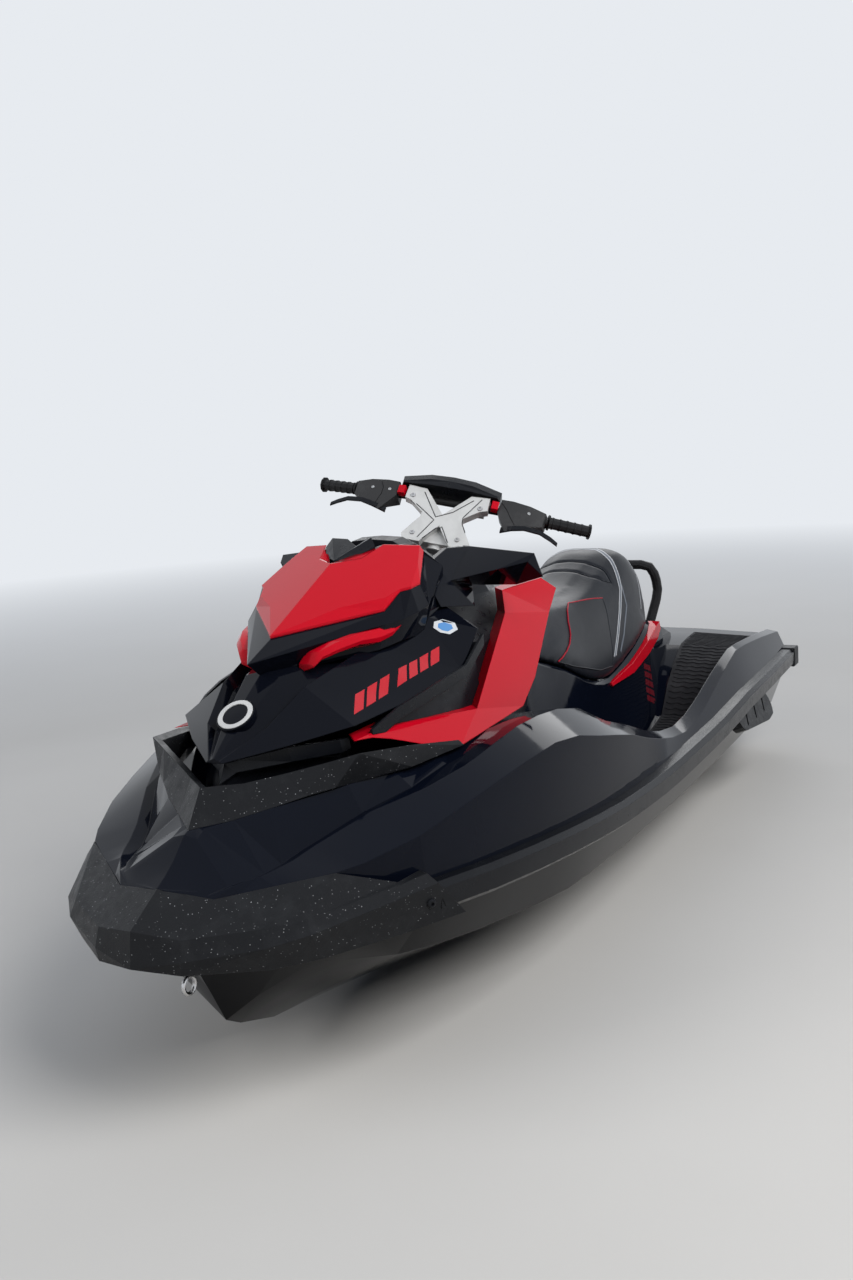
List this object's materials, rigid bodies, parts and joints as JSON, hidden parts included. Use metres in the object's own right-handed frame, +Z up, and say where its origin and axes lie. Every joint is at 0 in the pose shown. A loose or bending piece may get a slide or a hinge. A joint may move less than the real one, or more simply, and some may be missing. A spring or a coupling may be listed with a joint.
{
  "type": "personal watercraft",
  "caption": "Sit-on personal watercraft with a V hull, faceted opening hood, straddle seat, turning handlebar, and a jet pump with steering nozzle and reverse gate.",
  "frame": {"origin": "on the centreline at the waterline, 1.5 m forward of the transom and 0.2 m above the keel", "axes": "+X forward to the bow, +Y to port, +Z up"},
  "size_m": [3.317, 1.22, 1.2509],
  "materials": {
    "hull_gelcoat": "black high-gloss gelcoat on glass fibre",
    "deck_gelcoat": "black high-gloss gelcoat on glass fibre",
    "grained_plastic": "black grained polypropylene with a low sheen",
    "satin_plastic": "black satin moulded plastic",
    "gloss_black": "black gloss paint on moulded plastic",
    "red_paint": "bright red gloss paint on moulded plastic",
    "seat_vinyl": "black grained marine vinyl with grey side panels",
    "mat_foam": "black ribbed closed-cell foam",
    "rubber": "black moulded rubber",
    "silver_casting": "silver painted casting",
    "bar_tube": "black coated tube",
    "stainless": "stainless steel",
    "pump_metal": "cast aluminium, sea worn",
    "mirror_glass": "mirror",
    "bin_plastic": "black moulded plastic"
  },
  "bodies": {
    "root": {"bow_eye": "stainless", "console": "satin_plastic", "deck": "deck_gelcoat", "front_bumper": "grained_plastic", "gauge_pod": "satin_plastic", "grab_handle": "rubber", "hull": "hull_gelcoat", "inner_walls": "satin_plastic", "intake_grate": "pump_metal", "prow": "grained_plastic", "pump_housing": "pump_metal", "ride_plate": "pump_metal", "seat": "seat_vinyl", "seat_base": "deck_gelcoat", "seat_trims": "red_paint", "side_fairing_left": "red_paint", "side_fairing_right": "red_paint", "side_rail_left": "grained_plastic", "side_rail_right": "grained_plastic", "sponson_left": "grained_plastic", "sponson_right": "grained_plastic", "steering_boot": "rubber", "stern_caps": "grained_plastic", "storage_bin": "bin_plastic", "traction_mats": "mat_foam"},
    "steering": {"steering_stem": "silver_casting", "handlebar": "bar_tube", "bar_pad": "satin_plastic", "grip_left": "rubber", "grip_right": "rubber", "control_housing_left": "satin_plastic", "control_housing_right": "satin_plastic", "control_buttons": "red_paint", "control_levers": "satin_plastic"},
    "hood": {"hood_shell": "gloss_black", "hood_beak": "gloss_black", "hood_panel": "red_paint", "hood_vent": "satin_plastic", "hood_brows": "red_paint", "mirror_housing_left": "gloss_black", "mirror_housing_right": "gloss_black", "mirror_glasses": "mirror_glass"},
    "steering_nozzle": {"steering_nozzle": "pump_metal"},
    "reverse_gate": {"reverse_gate": "satin_plastic"},
    "impeller": {"impeller": "stainless"}
  },
  "joints": [
    {"name": "steer", "type": "hinge", "parent": "root", "child": "steering", "pos_m": [0.372, 0, 0.871], "axis": [-0.6652, 0, 0.7466], "range_deg": [-49.2, 10.8]},
    {"name": "nozzle_turn", "type": "hinge", "parent": "root", "child": "steering_nozzle", "pos_m": [-1.342, 0, -0.062], "axis": [0, 0, 1], "range_deg": [-7.6, 34.5]},
    {"name": "gate_tilt", "type": "hinge", "parent": "root", "child": "reverse_gate", "pos_m": [-1.31, 0, -0.062], "axis": [0, 1, 0], "range_deg": [-62, 0]},
    {"name": "impeller_spin", "type": "hinge", "parent": "root", "child": "impeller", "pos_m": [-1.1, 0, -0.062], "axis": [1, 0, 0], "continuous": true},
    {"name": "hood_lift", "type": "hinge", "parent": "root", "child": "hood", "pos_m": [1.49, 0, 0.505], "axis": [0, 1, 0], "range_deg": [0, 55]}
  ],
  "couplings": [
    {"joint": "nozzle_turn", "follows": "steer", "ratio": -0.7}
  ]
}
